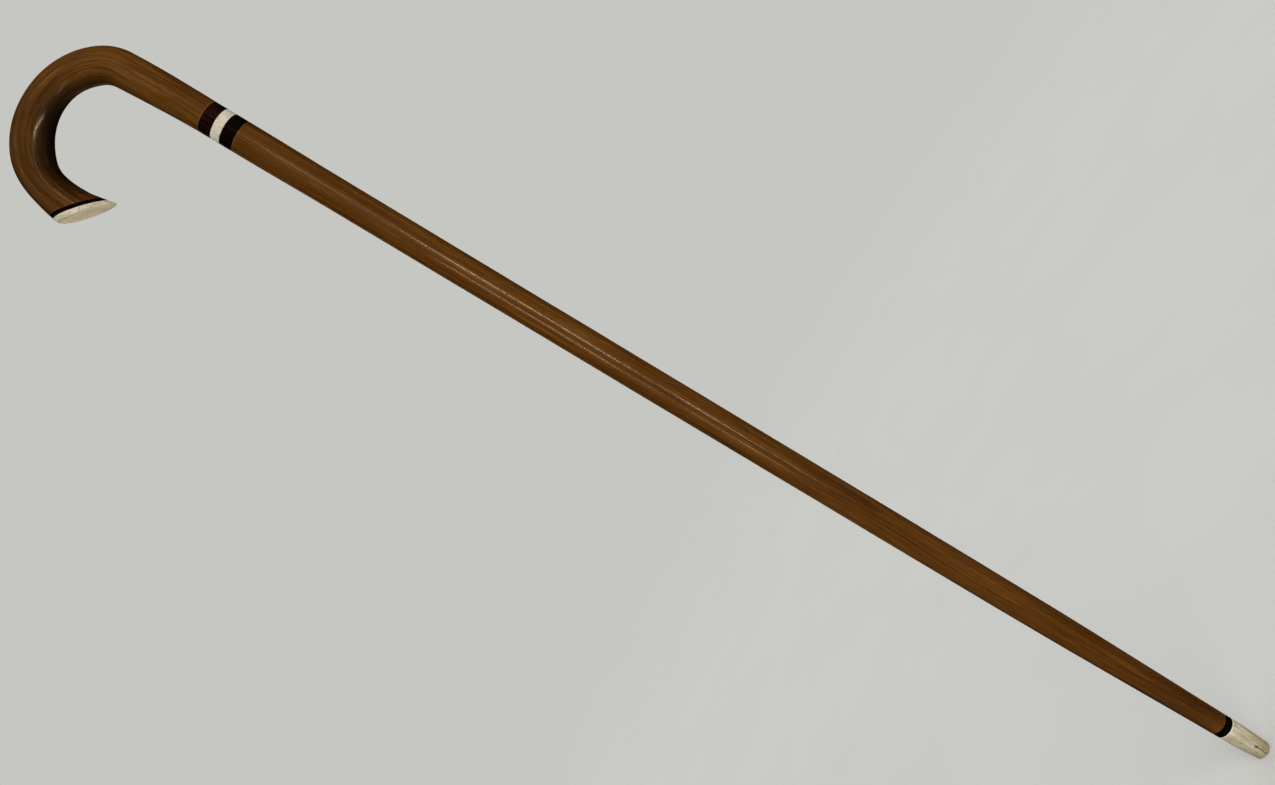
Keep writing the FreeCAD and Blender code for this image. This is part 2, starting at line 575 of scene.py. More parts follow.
EBONY = WoodFinish(
    "ebony",
    deep=Tone(3, 1, 1),
    body=Tone(9, 4, 3),
    warm=Tone(16, 8, 5),
    pale=Tone(34, 20, 14),
    edge_tone=Tone(40, 26, 18),
    roughness=0.42,
    specular=0.02,
    wax=0.025,
    pores=0.4,
    offset=(0.052, 0.024, 0.2),
)
DOWEL_WOOD = WoodFinish(
    "dowel_wood",
    deep=Tone(128, 92, 54),
    body=Tone(176, 140, 96),
    warm=Tone(190, 152, 106),
    pale=Tone(212, 180, 136),
    edge_tone=Tone(222, 194, 154),
    roughness=0.6,
    wax=0.0,
    source=GrainSpace.PLACED,
)
BONE = BoneFinish(
    "bone",
    light=Tone(250, 242, 222),
    body=Tone(240, 229, 204),
    dull=Tone(216, 201, 170),
    dirt=Tone(120, 90, 54),
)
CAP_BONE = BoneFinish(
    "cap_bone",
    light=Tone(250, 242, 218),
    body=Tone(234, 222, 190),
    dull=Tone(196, 177, 130),
    dirt=Tone(84, 62, 32),
    canals=Pattern((160, 1500, 1500), 2.0, 0.6),
    clouds=Pattern((90, 300, 300), 3.0, 0.6),
    specks=0.55,
)
FOOT_BONE = BoneFinish(
    "foot_bone",
    light=Tone(236, 229, 206),
    body=Tone(206, 194, 160),
    dull=Tone(150, 133, 94),
    dirt=Tone(60, 40, 16),
    canals=Pattern((1300, 1300, 110), 2.0, 0.6),
    clouds=Pattern((420, 420, 60), 3.0, 0.6),
    specks=0.28,
    roughness=0.40,
    foot_dirt=0.6,
)

Finish = Union[WoodFinish, BoneFinish]


# Mesh making


@dataclass(frozen=True)
class Spot:
    """A point of a turned outline: how far out, how high, and what it carries."""

    radius: float
    height: float
    wave: float = 0.0
    stain_and_shade: float = 0.0


Wave = Callable[[float, float], float]


def turns(sides: int) -> list[float]:
    """The angles of evenly spaced places round a circle, in radians."""
    return [2 * math.pi * side / sides for side in range(sides)]


def eased(share: float, start: float, end: float, leaving: float, arriving: float) -> float:
    """A cubic from one value to another.

    Args:
        share: how far along, from 0 to 1.
        start: the first value.
        end: the last value.
        leaving: the slope at the start, over the whole stretch.
        arriving: the slope at the end.

    Returns:
        The value there.
    """
    square = share * share
    cube = square * share
    return (
        (2 * cube - 3 * square + 1) * start
        + (cube - 2 * square + share) * leaving
        + (3 * square - 2 * cube) * end
        + (cube - square) * arriving
    )


def smooth_through(points: Sequence[tuple[float, float]], place: float) -> float:
    """A smooth curve through a few points.

    Args:
        points: (place, value) pairs in rising order of place.
        place: where the value is wanted.

    Returns:
        The value there.
    """
    last = len(points) - 1
    number = max(i for i in range(last) if points[i][0] <= place or i == 0)

    def slope(i: int) -> float:
        """The curve's slope at a point, from its neighbours.

        Args:
            i: the number of the point.

        Returns:
            The slope.
        """
        low = points[max(i - 1, 0)]
        high = points[min(i + 1, last)]
        return (high[1] - low[1]) / (high[0] - low[0])

    (start, first), (end, second) = points[number], points[number + 1]
    span = end - start
    share = (place - start) / span
    return eased(share, first, second, span * slope(number), span * slope(number + 1))


def hand_wave(size: float, length: float, seed: float) -> Wave:
    """The slight unevenness that scraping by hand leaves.

    Args:
        size: how far it departs from true, in metres.
        length: how long its waves are along the stick, in metres.
        seed: a number that makes one piece differ from the next.

    Returns:
        A function of the angle round the stick, in radians, and the place along it.
    """

    def wave(angle: float, along: float) -> float:
        """How far the surface stands out here."""
        spot = Vector((math.cos(angle), math.sin(angle) + seed, along / length))
        return size * noise.noise(spot)

    return wave


class Blank:
    """A mesh in the making, whose vertices carry the grain's coordinates, dirt and painted shade.
    """

    def __init__(self) -> None:
        """Start with nothing."""
        self.mesh = bmesh.new()
        self.grain = self.mesh.verts.layers.float_vector.new(GRAIN)
        self.stain_and_shade = self.mesh.verts.layers.float.new(STAIN_AND_SHADE)

    def vertex(self, place: Vector, grain: Vector, stain_and_shade: float = 0.0) -> bmesh.types.BMVert:
        """Add a vertex that carries its grain's coordinates, its dirt and any painted shade.

        Args:
            place: where it is.
            grain: its coordinates in the grain.
            stain_and_shade: its dirt or painted shade, or below 0 how pale the band at an end is.

        Returns:
            The vertex.
        """
        made = self.mesh.verts.new(place)
        made[self.grain] = grain
        made[self.stain_and_shade] = stain_and_shade
        return made

    def skin(self, first: Verts, second: Verts) -> None:
        """Join two closed rings of equal count with four-sided faces.

        Args:
            first: one ring.
            second: the other ring.
        """
        for number, start in enumerate(first):
            after = (number + 1) % len(first)
            self.mesh.faces.new((start, first[after], second[after], second[number]))

    def close(self, ring: Verts, tip: bmesh.types.BMVert) -> None:
        """Close a ring with triangles that meet at one vertex."""
        for number, start in enumerate(ring):
            self.mesh.faces.new((start, ring[(number + 1) % len(ring)], tip))

    def stack(self, rings: Sequence[Verts]) -> None:
        """Join rings one after the other; a ring of one vertex closes its neighbour.

        Args:
            rings: the rings, from one end to the other.
        """
        for first, second in zip(rings, rings[1:]):
            if len(second) == 1:
                self.close(first, second[0])
            elif len(first) == 1:
                self.close(second, first[0])
            else:
                self.skin(first, second)

    def fill(self, *rings: Verts) -> None:
        """Fill the flat space inside the first ring and outside the others."""
        edges = []
        for ring in rings:
            for number, start in enumerate(ring):
                after = ring[(number + 1) % len(ring)]
                edge = self.mesh.edges.get((start, after)) or self.mesh.edges.new((start, after))
                edges.append(edge)
        bmesh.ops.triangle_fill(self.mesh, use_beauty=True, use_dissolve=False, edges=edges)

    def turn(
        self, outline: Sequence[Spot], sides: int, wave: Wave, marks: Optional["Marks"] = None
    ) -> list[Verts]:
        """Turn an outline about the Z axis.

        Args:
            outline: spots from one end to the other, on the axis or off it.
            sides: how many faces go round.
            wave: how far the surface stands out at an angle and a height.
            marks: the pits and cracks in the surface, if it has any.

        Returns:
            The rings, in the outline's order.
        """
        marks = marks or Marks()
        rings = [self._turned_ring(spot, sides, wave, marks) for spot in outline]
        self.stack(rings)
        return rings

    def _turned_ring(self, spot: Spot, sides: int, wave: Wave, marks: "Marks") -> Verts:
        """One ring of a turned piece, or its single vertex on the axis.

        Args:
            spot: the point of the outline that it comes from.
            sides: how many faces go round.
            wave: how far the surface stands out at an angle and a height.
            marks: the pits and cracks in the surface.

        Returns:
            The ring.
        """
        if spot.radius == 0.0:
            place = Vector((0.0, 0.0, spot.height))
            return [self.vertex(place, place, spot.stain_and_shade)]
        ring = []
        for angle in turns(sides):
            depth, dirt = marks.at(angle, spot.height, spot.radius) if spot.wave else (0.0, 0.0)
            radius = spot.radius + spot.wave * wave(angle, spot.height) - depth
            place = Vector((radius * math.cos(angle), radius * math.sin(angle), spot.height))
            grain = Vector((-place.x, place.y, place.z))
            ring.append(self.vertex(place, grain, min(1.0, spot.stain_and_shade + dirt)))
        return ring

    def object(self, name: str, crease: float = 35.0) -> bpy.types.Object:
        """Finish the mesh as an object.

        Args:
            name: the piece's name.
            crease: the angle between faces above which an edge is sharp.

        Returns:
            The object, linked to the scene.
        """
        bmesh.ops.recalc_face_normals(self.mesh, faces=self.mesh.faces)
        data = bpy.data.meshes.new(name)
        self.mesh.to_mesh(data)
        self.mesh.free()
        data.shade_smooth()
        data.set_sharp_from_angle(angle=math.radians(crease))
        made = bpy.data.objects.new(name, data)
        bpy.context.scene.collection.objects.link(made)
        return made


@dataclass(frozen=True)
class Pit:
    """A small hollow in a surface, at an angle round the piece and a height."""

    angle: float
    height: float
    size: float
    depth: float
    dirt: float = 1.0
    length: float = 1.0

    def at(self, angle: float, height: float, radius: float) -> tuple[float, float]:
        """How deep the pit is at a place, and how dirty.

        Args:
            angle: round the piece, in radians.
            height: along the piece, in metres.
            radius: the piece's radius there.

        Returns:
            The depth in metres, and the dirt from 0 to 1.
        """
        turn = math.remainder(angle - math.radians(self.angle), 2 * math.pi)
        across = turn * radius / self.size
        along = (height - self.height) / (self.size * self.length)
        share = math.exp(-2.0 * (across * across + along * along))
        return self.depth * share, self.dirt * share


@dataclass(frozen=True)
class Crack:
    """A fine split that wanders from one height to another."""

    angle: float
    bottom: float
    top: float
    width: float
    depth: float
    wander: float = 6.0

    def at(self, angle: float, height: float, radius: float) -> tuple[float, float]:
        """How deep the split is at a place, and how dirty.

        Args:
            angle: round the piece, in radians.
            height: along the piece, in metres.
            radius: the piece's radius there.

        Returns:
            The depth in metres, and the dirt from 0 to 1.
        """
        if not self.bottom <= height <= self.top:
            return 0.0, 0.0
        middle = self.angle + self.wander * noise.noise(Vector((self.angle, 0.0, height * 260)))
        turn = math.remainder(angle - math.radians(middle), 2 * math.pi)
        across = turn * radius / self.width
        share = math.exp(-2.0 * across * across)
        return self.depth * share, share


@dataclass(frozen=True)
class Marks:
    """All the pits and cracks of one piece."""

    marks: tuple[Union[Pit, Crack], ...] = ()

    def at(self, angle: float, height: float, radius: float) -> tuple[float, float]:
        """The deepest mark at a place, and its dirt."""
        found = [mark.at(angle, height, radius) for mark in self.marks]
        return max((m[0] for m in found), default=0.0), max((m[1] for m in found), default=0.0)


def settle(piece: bpy.types.Object, node: str, finish: Finish) -> None:
    """Dress a piece, let it stand for its CAD node, and report it.

    Args:
        piece: the new object.
        node: the CAD node that it replaces.
        finish: what it is made of.
    """
    piece.data.materials.append(finish.material())
    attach(piece, BODY)
    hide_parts(node)
    low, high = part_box(node)
    LOG.info("%s for %s: %d faces, %.1f mm tall", piece.name, node, len(piece.data.polygons),
             (high.z - low.z) / MILLIMETRE)


# The cane's sub-assemblies


@dataclass
class Shaft:
    """The tapered stick, bored at both ends."""

    top_diameter: float = 0.0210
    upper_diameter: float = 0.0202
    upper_drop: float = 0.078
    middle_diameter: float = 0.0199
    middle_drop: float = 0.360
    taper_top_diameter: float = 0.0190
    taper_length: float = 0.140
    bottom_diameter: float = 0.0150
    top_bore: float = 0.0090
    top_bore_depth: float = 0.036
    bottom_bore: float = 0.0060
    bottom_bore_depth: float = 0.025
    edge: float = 0.00015
    pale_band: float = 0.0004
    steady: float = 0.004
    spacing: float = 0.0025
    sides: int = 96
    unevenness: float = 0.00009
    wave_length: float = 0.045
    finish: WoodFinish = SHAFT_WOOD
    marks: Marks = Marks((
        Pit(-90.0, 0.062, 0.034, 0.0, 0.40, 1.6),
        Pit(-165.0, 0.070, 0.0085, 0.0, 0.42, 7.0),
    ))
    low: float = field(init=False)
    high: float = field(init=False)

    def __post_init__(self) -> None:
        """Take the stick's two heights from the frame."""
        low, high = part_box("shaft")
        self.low = low.z
        self.high = high.z

    def radius(self, height: float) -> float:
        """The stick's radius at a height.

        Args:
            height: how high, in metres.

        Returns:
            The radius in metres.
        """
        points = [
            (self.low, self.bottom_diameter),
            (self.low + self.taper_length, self.taper_top_diameter),
            (self.high - self.middle_drop, self.middle_diameter),
            (self.high - self.upper_drop, self.upper_diameter),
            (self.high, self.top_diameter),
        ]
        return smooth_through(points, height) / 2

    def outline(self) -> list[Spot]:
        """The stick's outline, from the bottom of one bore to the bottom of the other.

        Returns:
            The spots, from axis to axis.
        """
        spots = [
            Spot(0.0, self.low + self.bottom_bore_depth),
            Spot(self.bottom_bore / 2, self.low + self.bottom_bore_depth),
            Spot(self.bottom_bore / 2, self.low),
            Spot(self.bottom_diameter / 2 - self.edge, self.low, 0.0, PALE_EDGE),
        ]
        first = self.low + 2 * self.pale_band
        span = self.high - self.low - 4 * self.pale_band
        count = round(span / self.spacing)
        heights = [self.low + self.edge, self.low + self.pale_band]
        heights += [first + span * number / count for number in range(count + 1)]
        heights += [self.high - self.pale_band, self.high - self.edge]
        for height in heights:
            distance = min(height - self.low, self.high - height)
            paling = 0.0 if distance > 1.5 * self.pale_band else PALE_EDGE
            share = min(1.0, distance / self.steady)
            spots.append(Spot(self.radius(height), height, share, paling))
        return spots + [
            Spot(self.top_diameter / 2 - self.edge, self.high, 0.0, PALE_EDGE),
            Spot(self.top_bore / 2, self.high),
            Spot(self.top_bore / 2, self.high - self.top_bore_depth),
            Spot(0.0, self.high - self.top_bore_depth),
        ]

    def build(self) -> None:
        """Turn the stick and dress it."""
        blank = Blank()
        wave = hand_wave(self.unevenness, self.wave_length, 3.0)
        blank.turn(self.outline(), self.sides, wave, self.marks)
        settle(blank.object("turned_shaft"), "shaft", self.finish)


@dataclass
class Ring:
    """One ring of a collar: its name, the node it stands for, a slot that is not used, and its
    finish.
    """

    name: str
    node: str
    slot: str
    finish: Finish
    bore: float
    edge: float = 0.00018
    belly: float = 0.00006
    unevenness: float = 0.00003
    wave_length: float = 0.01
    sides: int = 128
    rows: int = 14

    def build(self) -> None:
        """Turn the ring between the heights of its CAD node and dress it."""
        low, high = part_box(self.node)
        outer = (high.x - low.x) / 2
        span = high.z - low.z - 2 * self.edge
        spots = [Spot(self.bore / 2, low.z), Spot(outer - self.edge, low.z)]
        for row in range(self.rows + 1):
            share = row / self.rows
            hollow = self.belly * (1.0 - math.sin(math.pi * share))
            spots.append(Spot(outer - hollow, low.z + self.edge + span * share, 1.0))
        spots += [Spot(outer - self.edge, high.z), Spot(self.bore / 2, high.z)]
        wave = hand_wave(self.unevenness, self.wave_length, len(self.name))
        blank = Blank()
        rings = blank.turn(spots, self.sides, wave)
        blank.skin(rings[-1], rings[0])
        settle(blank.object(self.name), self.node, self.finish)


@dataclass
class Collar:
    """The three rings between the shaft and the handle."""

    bore: float = 0.0090

    def build(self) -> None:
        """Build the dark ring, the bone ring and the rosewood ring, from the shaft up."""
        Ring("dark_collar_ring", "collar_ebony_ring", "ebony", EBONY, self.bore).build()
        Ring("pale_collar_ring", "collar_bone_ring", "bone", BONE, self.bore).build()
        Ring("red_collar_ring", "collar_rosewood_ring", "rosewood", ROSEWOOD, self.bore).build()


@dataclass(frozen=True)
class Bend:
    """One bend of the handle, and the wood's width and depth at its end."""

    radius: float
    turn: float
    width: float
    depth: float

    def length(self) -> float:
        """How long the bend is along its middle."""
        return self.radius * math.radians(self.turn)


@dataclass(frozen=True)
class Section:
    """A place on the handle's line, with the wood's width and depth there."""

    centre: Vector
    heading: float
    width: float
    depth: float


def heading_vector(heading: float) -> Vector:
    """The unit vector that leans from +Z towards -X by a heading in degrees."""
    angle = math.radians(heading)
    return Vector((-math.sin(angle), 0.0, math.cos(angle)))


@dataclass
class CrookLine:
    """The bent line that the handle follows, and the oblique plane that ends it."""

    collar_diameter: float = 0.0210
    bends: tuple[Bend, ...] = (
        Bend(0.9770, 3.3, 0.0230, 0.0226),
        Bend(0.0243, 34.5, 0.0230, 0.0223),
        Bend(0.0451, 40.3, 0.0225, 0.0220),
        Bend(0.0503, 48.3, 0.0249, 0.0236),
        Bend(0.0347, 36.5, 0.0233, 0.0224),
        Bend(0.0782, 17.3, 0.0257, 0.0231),
    )
    nose_flare: float = 0.34
    nose_stock: float = 0.034
    cut_drop: float = -0.0036
    cut_angle: float = 38.6
    unevenness: float = 0.00010
    wave_length: float = 0.022
    steady: float = 0.004
    bottom: float = field(init=False)
    starts: list[tuple[float, Vector, float]] = field(init=False)

    def __post_init__(self) -> None:
        """Find where each bend starts, from the height of the handle's foot in the frame."""
        self.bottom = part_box("crook_handle")[0].z
        place = Vector((0.0, 0.0, self.bottom))
        heading = 0.0
        distance = 0.0
        self.starts = []
        for bend in self.bends:
            self.starts.append((distance, place, heading))
            place = self._round(place, heading, bend.radius, bend.turn)
            heading += bend.turn
            distance += bend.length()
        self.starts.append((distance, place, heading))
        self.wave = hand_wave(self.unevenness, self.wave_length, 7.0)

    @staticmethod
    def _round(start: Vector, heading: float, radius: float, turn: float) -> Vector:
        """The point reached after a bend from a start and a heading.

        Args:
            start: where the bend starts.
            heading: the heading there, in degrees.
            radius: the radius of the bend.
            turn: how far it turns, in degrees.

        Returns:
            The point.
        """
        to_centre = heading_vector(heading + 90) * radius
        from_centre = heading_vector(heading + 90 + turn) * radius
        return start + to_centre - from_centre

    def end(self) -> float:
        """The distance along the line at which the last bend ends."""
        return self.starts[-1][0]

    def _size(self, sizes: list[float], number: int, share: float) -> float:
        """A size within one bend, running on smoothly from its neighbours.

        Args:
            sizes: the sizes at the start of the line and at the end of each bend.
            number: which bend.
            share: how far through it, from 0 to 1.

        Returns:
            The size there.
        """
        before = sizes[max(number - 1, 0)]
        start, end = sizes[number], sizes[number + 1]
        after = sizes[min(number + 2, len(sizes) - 1)]
        return eased(share, start, end, (end - before) / 2, (after - start) / 2)

    def section(self, distance: float) -> Section:
        """The place, heading and size of the wood at a distance along the line.

        Args:
            distance: how far along, in metres.

        Returns:
            The section.
        """
        last = self.bends[-1]
        if distance >= self.end():
            beyond = distance - self.end()
            _, place, heading = self.starts[-1]
            centre = place + heading_vector(heading) * beyond
            return Section(centre, heading, last.width + self.nose_flare * beyond, last.depth)
        number = max(i for i in range(len(self.bends)) if self.starts[i][0] <= distance or i == 0)
        bend = self.bends[number]
        begun, place, heading = self.starts[number]
        share = (distance - begun) / bend.length()
        widths = [self.collar_diameter] + [b.width for b in self.bends]
        depths = [self.collar_diameter] + [b.depth for b in self.bends]
        return Section(
            self._round(place, heading, bend.radius, bend.turn * share),
            heading + bend.turn * share,
            self._size(widths, number, share),
            self._size(depths, number, share),
        )

    def spot(self, distance: float, angle: float, inset: float = 0.0) -> tuple[Vector, Vector]:
        """A point of the handle's surface.

        Args:
            distance: how far along the line.
            angle: round the wood, in radians, from the inner side towards the back.
            inset: how far below the surface.

        Returns:
            The point, and its place in the grain.
        """
        section = self.section(distance)
        out = self.wave(angle, distance) * min(1.0, distance / self.steady) - inset
        across = math.cos(angle) * (section.width / 2 + out)
        deep = math.sin(angle) * (section.depth / 2 + out)
        place = section.centre + heading_vector(section.heading + 90) * across
        place = place + Vector((0.0, deep, 0.0))
        return place, Vector((across, deep, self.bottom + distance))

    def cut_middle(self) -> Vector:
        """The middle of the oblique cut."""
        _, place, heading = self.starts[-1]
        return place + heading_vector(heading) * self.cut_drop

    def cut_normal(self) -> Vector:
        """The direction square to the cut, out of the handle."""
        angle = math.radians(self.cut_angle)
        return Vector((-math.sin(angle), 0.0, -math.cos(angle)))

    def cut_along(self) -> Vector:
        """The direction along the cut, falling towards the shaft."""
        angle = math.radians(self.cut_angle)
        return Vector((math.cos(angle), 0.0, -math.sin(angle)))

    def reach(self, angle: float, depth: float) -> float:
        """The distance along the line at which the surface crosses a plane of the nose.

        Args:
            angle: round the wood, in radians.
            depth: how far the plane is below the cut, in metres.

        Returns:
            The distance, found by halving.
        """
        low = self.end() - self.nose_stock
        high = self.end() + self.nose_stock
        middle = self.cut_middle()
        normal = self.cut_normal()
        for _ in range(26):
            tried = (low + high) / 2
            if (self.spot(tried, angle)[0] - middle).dot(normal) < depth:
                low = tried
            else:
                high = tried
        return (low + high) / 2


@dataclass
class Peg:
    """A hidden peg of the nose: where it stands along the cut, and how far it goes in."""

    shift: float
    diameter: float = 0.0030
    into_handle: float = 0.0090
    into_cap: float = 0.0020
    sides: int = 24

    def ring(self, blank: Blank, line: CrookLine, depth: float) -> Verts:
        """A ring of the peg's hole at a depth below the cut.

        Args:
            blank: the mesh that it is made in.
            line: the handle's line.
            depth: how far below the cut, in metres.

        Returns:
            The ring.
        """
        normal = line.cut_normal()
        along = line.cut_along()
        centre = line.cut_middle() + along * self.shift + normal * depth
        ring = []
        for angle in turns(self.sides):
            out = along * math.cos(angle) + Vector((0.0, math.sin(angle), 0.0))
            place = centre + out * (self.diameter / 2)
            ring.append(blank.vertex(place, place))
        return ring

    def bore(self, blank: Blank, line: CrookLine, start: float, end: float) -> Verts:
        """Cut a blind hole from one depth to another and hand back its mouth.

        Args:
            blank: the mesh that it is made in.
            line: the handle's line.
            start: the depth of its mouth below the cut.
            end: the depth of its bottom.

        Returns:
            The ring of its mouth.
        """
        mouth = self.ring(blank, line, start)
        centre = line.cut_middle() + line.cut_along() * self.shift + line.cut_normal() * end
        blank.stack([mouth, self.ring(blank, line, end), [blank.vertex(centre, centre)]])
        return mouth


@dataclass
class Crook:
    """The bent handle, from the collar to the oblique cut at its nose."""

    line: CrookLine
    pegs: tuple[Peg, ...]
    bore: float = 0.0090
    bore_depth: float = 0.030
    edge: float = 0.00015
    pale_band: float = 0.0004
    spacing: float = 0.0014
    sheared: float = 0.030
    nose_pale: float = -0.5
    # Painted shade on the crook: darker inside the bends and over its far half
    inner_shade: float = 0.52
    late_shade: float = 0.36
    late_from: float = 0.42
    late_over: float = 0.25
    darkest: float = 0.85
    sides: int = 144
    finish: WoodFinish = HANDLE_WOOD

    def _painted_shade(self, distance: float, angle: float) -> float:
        """Painted shade: darker on the inner side of the bends and over the far half of the crook.

        Args:
            distance: how far along the line.
            angle: round the wood, in radians, from the inner side.

        Returns:
            The painted shade, from 0 up.
        """
        share = min(1.0, distance / self.line.end())
        inner = max(0.0, math.cos(angle)) * math.sqrt(max(0.0, math.sin(math.pi * share)))
        late = min(1.0, max(0.0, (share - self.late_from) / self.late_over))
        late = late * late * (3.0 - 2.0 * late)
        return min(self.darkest, self.inner_shade * inner + self.late_shade * late)

    def _row(self, blank: Blank, distances: list[float], inset: float, edge: float) -> Verts:
        """A ring of the handle, each vertex at its own distance along the line.

        Args:
            blank: the mesh that it is made in.
            distances: how far along the line each vertex is.
            inset: how far below the surface.
            edge: below 0 how pale the band at an end is, or 0 for the painted shade.

        Returns:
            The ring.
        """
        ring = []
        for angle, distance in zip(turns(self.sides), distances):
            place, grain = self.line.spot(distance, angle, inset)
            # away from the ends each vertex carries the painted shade
            ring.append(blank.vertex(place, grain, edge or self._painted_shade(distance, angle)))
        return ring

    def rows(self, blank: Blank) -> list[Verts]:
        """Every ring of the handle's outside, from the collar to the cut.

        Args:
            blank: the mesh that they are made in.

        Returns:
            The rings, in order.
        """
        shear = self.line.end() - self.sheared
        ends = [self.line.reach(angle, 0.0) for angle in turns(self.sides)]
        rows = [
            self._row(blank, [0.0] * self.sides, self.edge, PALE_EDGE),
            self._row(blank, [self.edge] * self.sides, 0.0, PALE_EDGE),
            self._row(blank, [self.pale_band] * self.sides, 0.0, PALE_EDGE),
        ]
        count = round(shear / self.spacing)
        first = 2 * self.pale_band
        for number in range(count + 1):
            distance = first + (shear - first) * number / count
            rows.append(self._row(blank, [distance] * self.sides, 0.0, 0.0))
        count = round(self.sheared / self.spacing)
        for number in range(1, count + 1):
            share = number / count
            distances = [shear + (end - self.pale_band - shear) * share for end in ends]
            rows.append(self._row(blank, distances, 0.0, 0.0))
        rows.append(self._row(blank, [end - self.edge for end in ends], 0.0, self.nose_pale))
        rows.append(self._row(blank, ends, self.edge, self.nose_pale))
        return rows

    def build(self) -> None:
        """Sweep the handle along its line, bore it, and dress it."""
        blank = Blank()
        rows = self.rows(blank)
        blank.stack(rows)
        self._flatten(rows[-1])
        self._dowel_hole(blank, rows[0])
        mouths = [peg.bore(blank, self.line, 0.0, -peg.into_handle) for peg in self.pegs]
        blank.fill(rows[-1], *mouths)
        settle(blank.object("bent_crook"), "crook_handle", self.finish)

    def _flatten(self, ring: Verts) -> None:
        """Bring a ring exactly into the plane of the cut.

        Args:
            ring: the handle's last ring.
        """
        middle = self.line.cut_middle()
        normal = self.line.cut_normal()
        for vertex in ring:
            vertex.co -= normal * (vertex.co - middle).dot(normal)

    def _dowel_hole(self, blank: Blank, foot: Verts) -> None:
        """Face the collar end and bore it for its dowel.

        Args:
            blank: the mesh that it is made in.
            foot: the handle's first ring.
        """
        rings = [foot]
        for height in (0.0, self.bore_depth):
            ring = []
            for angle in turns(self.sides):
                across = math.cos(angle) * self.bore / 2
                deep = math.sin(angle) * self.bore / 2
                place = Vector((-across, deep, self.line.bottom + height))
                ring.append(blank.vertex(place, Vector((across, deep, place.z))))
            rings.append(ring)
        tip = Vector((0.0, 0.0, self.line.bottom + self.bore_depth))
        blank.stack(rings + [[blank.vertex(tip, tip)]])


@dataclass
class Nose:
    """The dark plate and the bone cap on the oblique cut."""

    line: CrookLine
    pegs: tuple[Peg, ...]
    plate: float = 0.0025
    cap: float = 0.0034
    rounding: float = 0.0009
    edge: float = 0.00013
    edge_pale: float = -0.3
    sides: int = 144
    edge_rows: int = 6
    face_rows: int = 9
    dome: float = 0.00012
    pit: Point = (-0.0085, -0.0085, 0.0050)
    pit_stretch: float = 0.6
    pit_size: float = 0.0012

    def _row(self, blank: Blank, depth: float, inset: float, stain_and_shade: float = 0.0) -> Verts:
        """A ring of the nose in a plane at a depth below the cut, drawn in by an inset.

        Args:
            blank: the mesh that it is made in.
            depth: how far below the cut, in metres.
            inset: how far it is drawn in, in metres.
            stain_and_shade: its dirt, or below 0 how pale the band at an end is.

        Returns:
            The ring.
        """
        angles = turns(self.sides)
        points = [self.line.spot(self.line.reach(a, depth), a)[0] for a in angles]
        middle = sum(points, Vector()) / len(points)
        ring = []
        for point in points:
            out = point - middle
            place = point - out.normalized() * min(inset, out.length)
            ring.append(self._vertex(blank, place, stain_and_shade))
        return ring

    def _vertex(self, blank: Blank, place: Vector, stain_and_shade: float = 0.0) -> bmesh.types.BMVert:
        """A vertex whose grain runs along the cut, dirty if it is in the pit.

        Args:
            blank: the mesh that it is made in.
            place: where it is.
            stain_and_shade: its dirt outside the pit.

        Returns:
            The vertex.
        """
        away = place - self.line.cut_middle()
        along = away.dot(self.line.cut_along())
        deep = away.dot(self.line.cut_normal())
        off = Vector((along, place.y, deep)) - Vector(self.pit)
        off.y *= self.pit_stretch
        dirt = max(stain_and_shade, 1.0 - off.length / self.pit_size) if off.length < self.pit_size else stain_and_shade
        return blank.vertex(place, Vector((along, place.y, deep)), dirt)

    def build_plate(self) -> None:
        """Build the dark plate, pierced for the pegs."""
        blank = Blank()
        edges = [(0.0, self.edge), (self.edge, 0.0), (self.plate / 2, 0.0)]
        edges += [(self.plate - self.edge, 0.0), (self.plate, self.edge)]
        rows = [self._row(blank, *edge) for edge in edges]
        blank.stack(rows)
        tops = [peg.ring(blank, self.line, 0.0) for peg in self.pegs]
        bottoms = [peg.ring(blank, self.line, self.plate) for peg in self.pegs]
        for top, bottom in zip(tops, bottoms):
            blank.skin(top, bottom)
        blank.fill(rows[0], *tops)
        blank.fill(rows[-1], *bottoms)
        settle(blank.object("dark_nose_plate"), "nose_spacer", EBONY)

    def build_cap(self) -> None:
        """Build the bone cap, with its outer edge rounded over and a slightly domed face."""
        blank = Blank()
        start = self.plate
        end = self.plate + self.cap
        edges = [(start, self.edge, 0.0), (start + self.edge, 0.0, self.edge_pale)]
        wall = self.cap - self.rounding - self.edge
        for number in range(1, self.edge_rows + 1):
            edges.append((start + self.edge + wall * number / self.edge_rows, 0.0, 0.0))
        for number in range(1, self.edge_rows + 1):
            angle = math.pi / 2 * number / self.edge_rows
            depth = end - self.rounding * (1 - math.sin(angle))
            edges.append((depth, self.rounding * (1 - math.cos(angle)), 0.0))
        rows = [self._row(blank, *edge) for edge in edges]
        blank.stack(rows + self._face_rows(blank, rows[-1]))
        mouths = [peg.bore(blank, self.line, start, start + peg.into_cap) for peg in self.pegs]
        blank.fill(rows[0], *mouths)
        settle(blank.object("bone_nose_cap"), "nose_cap", CAP_BONE)

    def _face_rows(self, blank: Blank, rim: Verts) -> list[Verts]:
        """Rings across the cap's outer face, from inside its rim to its middle.

        Args:
            blank: the mesh that they are made in.
            rim: the ring at the face's edge.

        Returns:
            The rings, the last of them a single vertex.
        """
        middle = sum((vertex.co for vertex in rim), Vector()) / len(rim)
        rows = []
        for number in range(1, self.face_rows):
            share = 1 - number / self.face_rows
            drop = self.line.cut_normal() * -self.dome * (1 - share * share)
            places = [middle + (vertex.co - middle) * share + drop for vertex in rim]
            rows.append([self._vertex(blank, place) for place in places])
        centre = sum((vertex.co for vertex in rows[-1]), Vector()) / len(rim)
        return rows + [[self._vertex(blank, centre)]]

    def build(self) -> None:
        """Build the plate and the cap."""
        self.build_plate()
        self.build_cap()


